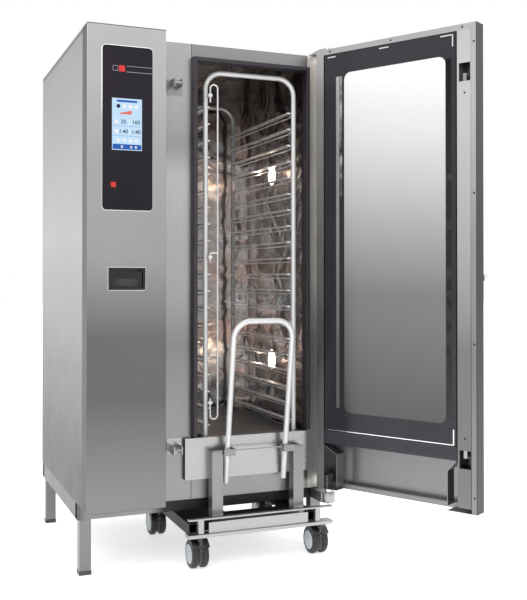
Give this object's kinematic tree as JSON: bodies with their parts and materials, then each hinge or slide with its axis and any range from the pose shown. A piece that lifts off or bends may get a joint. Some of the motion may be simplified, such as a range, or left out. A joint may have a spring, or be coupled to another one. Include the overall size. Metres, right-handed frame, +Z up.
{
  "type": "combi steamer oven",
  "caption": "Roll-in combi steamer oven with a control column, a large glazed door, a tray rack on a caster trolley and a lift-off push handle.",
  "frame": {"origin": "middle of the base of the whole object with the door open as stored, on the floor", "axes": "+Z up, +Y from the front to the back, +X to the right along the front"},
  "size_m": [1.272, 1.467, 1.901],
  "materials": {
    "brushed_steel_panels": "vertical grain, satin",
    "side_steel": "smooth satin sheet",
    "frame_steel": "satin tube",
    "cavity_steel": "bright annealed, near mirror",
    "tube_steel": "polished tube",
    "chassis_steel": "brushed flat bar",
    "latch_steel": "polished",
    "foot_plastic": "pale grey moulded",
    "gasket_rubber": "matt silicone",
    "control_black_glass": "black printed glass",
    "screen": "lit display",
    "door_glass": "clear tempered",
    "lamp_glass": "clear heat-proof",
    "insulation_wool": "mineral wool",
    "motor_paint": "satin",
    "drip_plastic": "dark ribbed",
    "black_plastic": "fine grain",
    "caster_plastic": "moulded",
    "wheel_rubber": "smooth tread",
    "heater_steel": "heat-tinted tube",
    "brass_fitting": "turned"
  },
  "bodies": {
    "cabinet": {"base_frame": "frame_steel", "legs": "tube_steel", "leg_end_caps": "foot_plastic", "left_side_panel": "side_steel", "right_side_panel": "side_steel", "roof_panel": "side_steel", "rear_panel": "side_steel", "bottom_pan": "frame_steel", "column_front_panel": "brushed_steel_panels", "front_jamb_left": "brushed_steel_panels", "front_jamb_right": "brushed_steel_panels", "front_header": "brushed_steel_panels", "front_sill": "brushed_steel_panels", "cavity_liner": "cavity_steel", "cavity_insulation": "insulation_wool", "door_gasket": "gasket_rubber", "air_baffle": "cavity_steel", "heater_rings": "heater_steel", "fan_motors": "motor_paint", "lamp_lenses": "lamp_glass", "control_glass": "control_black_glass", "touch_screen": "screen", "port_box": "black_plastic", "steam_generator": "frame_steel", "drain_pipe": "tube_steel", "water_inlets": "brass_fitting", "cable_gland": "black_plastic", "door_strikers": "latch_steel", "hinge_brackets": "frame_steel"},
    "fan_lower": {"fan_wheel_lower": "cavity_steel"},
    "fan_upper": {"fan_wheel_upper": "cavity_steel"},
    "port_flap": {"port_flap": "black_plastic"},
    "hinge_pins": {"hinge_pins": "latch_steel"},
    "door": {"door_outer_skin": "brushed_steel_panels", "door_outer_glass": "control_black_glass", "door_inner_frame": "brushed_steel_panels", "lock_channel": "brushed_steel_panels", "drip_channel": "drip_plastic"},
    "inner_glass": {"inner_glass": "door_glass"},
    "handle": {"door_handle": "latch_steel", "latch_pinion": "latch_steel"},
    "upper_rod": {"upper_latch_rod": "latch_steel"},
    "lower_rod": {"lower_latch_rod": "latch_steel"},
    "trolley": {"rack_frames": "tube_steel", "tray_rails": "tube_steel", "rack_floor_tray": "cavity_steel", "trolley_apron": "chassis_steel", "trolley_posts": "chassis_steel", "chassis_front": "chassis_steel", "chassis_side_rails": "frame_steel"},
    "push_handle": {"push_handle": "tube_steel"},
    "tray_stop": {"tray_stop_rod": "tube_steel"},
    "caster_front_left": {"caster_housing_front_left": "caster_plastic"},
    "wheels_front_left": {"caster_wheels_front_left": "wheel_rubber"},
    "caster_front_right": {"caster_housing_front_right": "caster_plastic"},
    "wheels_front_right": {"caster_wheels_front_right": "wheel_rubber"},
    "caster_rear_left": {"caster_housing_rear_left": "caster_plastic"},
    "wheels_rear_left": {"caster_wheels_rear_left": "wheel_rubber"},
    "caster_rear_right": {"caster_housing_rear_right": "caster_plastic"},
    "wheels_rear_right": {"caster_wheels_rear_right": "wheel_rubber"}
  },
  "joints": [
    {"name": "hinge_pin_turn", "type": "hinge", "parent": "cabinet", "child": "hinge_pins", "pos_m": [0.26595, -0.18151, 1], "axis": [0, 0, 1], "range_deg": [-59.56, 30]},
    {"name": "door_swing", "type": "hinge", "parent": "hinge_pins", "child": "door", "pos_m": [0.26595, -0.18151, 1], "axis": [0, 0, 1], "range_deg": [-59.56, 30]},
    {"name": "inner_glass_swing", "type": "hinge", "parent": "door", "child": "inner_glass", "pos_m": [0.24753, -0.21009, 1], "axis": [0, 0, -1], "range_deg": [0, 45]},
    {"name": "handle_turn", "type": "hinge", "parent": "door", "child": "handle", "pos_m": [0.56488, -0.6606, 1.01], "axis": [0.8736, 0.4866, 0], "range_deg": [-90, 0]},
    {"name": "upper_rod_slide", "type": "slide", "parent": "door", "child": "upper_rod", "axis": [0, 0, 1], "range_m": [0, 0.019]},
    {"name": "lower_rod_slide", "type": "slide", "parent": "door", "child": "lower_rod", "axis": [0, 0, 1], "range_m": [-0.019, 0]},
    {"name": "trolley_roll", "type": "slide", "parent": "cabinet", "child": "trolley", "axis": [0, -1, 0], "range_m": [0, 1.1]},
    {"name": "push_handle_lift", "type": "slide", "parent": "trolley", "child": "push_handle", "axis": [0, 0.1564, -0.9877], "range_m": [-0.67, 0]},
    {"name": "tray_stop_swing", "type": "hinge", "parent": "trolley", "child": "tray_stop", "pos_m": [-0.16405, -0.10151, 1.1], "axis": [0, 0, -1], "range_deg": [0, 100]},
    {"name": "port_flap_swing", "type": "hinge", "parent": "cabinet", "child": "port_flap", "pos_m": [-0.50405, -0.24851, 1.031], "axis": [-1, 0, 0], "range_deg": [0, 85]},
    {"name": "fan_lower_spin", "type": "hinge", "parent": "cabinet", "child": "fan_lower", "pos_m": [-0.33605, 0.27049, 0.78], "axis": [1, 0, 0], "continuous": true},
    {"name": "fan_upper_spin", "type": "hinge", "parent": "cabinet", "child": "fan_upper", "pos_m": [-0.33605, 0.27049, 1.44], "axis": [1, 0, 0], "continuous": true},
    {"name": "swivel_front_left", "type": "hinge", "parent": "trolley", "child": "caster_front_left", "pos_m": [-0.22805, -0.18151, 0.11], "axis": [0, 0, 1], "continuous": true},
    {"name": "roll_front_left", "type": "hinge", "parent": "caster_front_left", "child": "wheels_front_left", "pos_m": [-0.22805, -0.14951, 0.05], "axis": [-1, 0, 0], "continuous": true},
    {"name": "swivel_front_right", "type": "hinge", "parent": "trolley", "child": "caster_front_right", "pos_m": [0.22995, -0.18151, 0.11], "axis": [0, 0, 1], "continuous": true},
    {"name": "roll_front_right", "type": "hinge", "parent": "caster_front_right", "child": "wheels_front_right", "pos_m": [0.22995, -0.14951, 0.05], "axis": [-1, 0, 0], "continuous": true},
    {"name": "swivel_rear_left", "type": "hinge", "parent": "trolley", "child": "caster_rear_left", "pos_m": [-0.24905, 0.27549, 0.11], "axis": [0, 0, 1], "continuous": true},
    {"name": "roll_rear_left", "type": "hinge", "parent": "caster_rear_left", "child": "wheels_rear_left", "pos_m": [-0.24905, 0.30749, 0.05], "axis": [-1, 0, 0], "continuous": true},
    {"name": "swivel_rear_right", "type": "hinge", "parent": "trolley", "child": "caster_rear_right", "pos_m": [0.20395, 0.27549, 0.11], "axis": [0, 0, 1], "continuous": true},
    {"name": "roll_rear_right", "type": "hinge", "parent": "caster_rear_right", "child": "wheels_rear_right", "pos_m": [0.20395, 0.30749, 0.05], "axis": [-1, 0, 0], "continuous": true}
  ],
  "couplings": [
    {"joint": "upper_rod_slide", "follows": "handle_turn", "m_per_rad": -0.012},
    {"joint": "lower_rod_slide", "follows": "handle_turn", "m_per_rad": 0.012}
  ]
}
